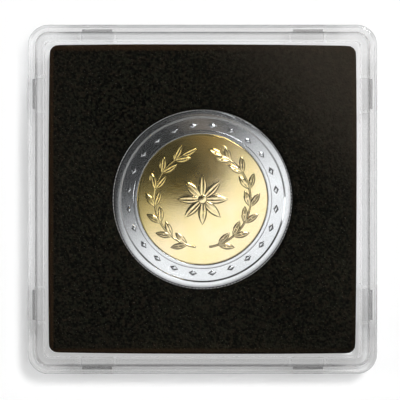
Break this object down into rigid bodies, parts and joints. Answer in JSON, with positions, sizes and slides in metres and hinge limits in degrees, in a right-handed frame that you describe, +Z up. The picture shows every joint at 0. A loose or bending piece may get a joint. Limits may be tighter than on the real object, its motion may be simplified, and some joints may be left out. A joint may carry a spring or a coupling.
{
  "type": "square coin capsule",
  "caption": "Square clear capsule whose lid snaps onto a base, holding a round two-metal coin in the hole of a black foam insert.",
  "frame": {"origin": "middle of the base's flat underside", "axes": "+Z up through the lid, +X to the right and +Y to the top of the coin's front as it is seen from above"},
  "size_m": [0.05, 0.05, 0.0063],
  "materials": {
    "clear_plastic": "clear moulded polystyrene, polished",
    "black_foam": "matt, fine closed-cell foam, die-cut",
    "white_metal": "bright struck copper-nickel",
    "gold_metal": "bright struck nickel brass",
    "nickel": "rolled nickel, seen nowhere once pressed"
  },
  "bodies": {
    "base": {"base_shell": "clear_plastic"},
    "insert": {"foam_insert": "black_foam"},
    "coin": {"coin_ring": "white_metal", "coin_core_front": "gold_metal", "coin_core_nickel": "nickel", "coin_core_back": "gold_metal"},
    "lid": {"lid_shell": "clear_plastic"}
  },
  "joints": [
    {"name": "insert_lift", "type": "slide", "parent": "base", "child": "insert", "axis": [0, 0, 1], "range_m": [0, 0.012]},
    {"name": "coin_lift", "type": "slide", "parent": "insert", "child": "coin", "axis": [0, 0, 1], "range_m": [0, 0.012]},
    {"name": "lid_lift", "type": "slide", "parent": "coin", "child": "lid", "axis": [0, 0, 1], "range_m": [0, 0.02]}
  ]
}
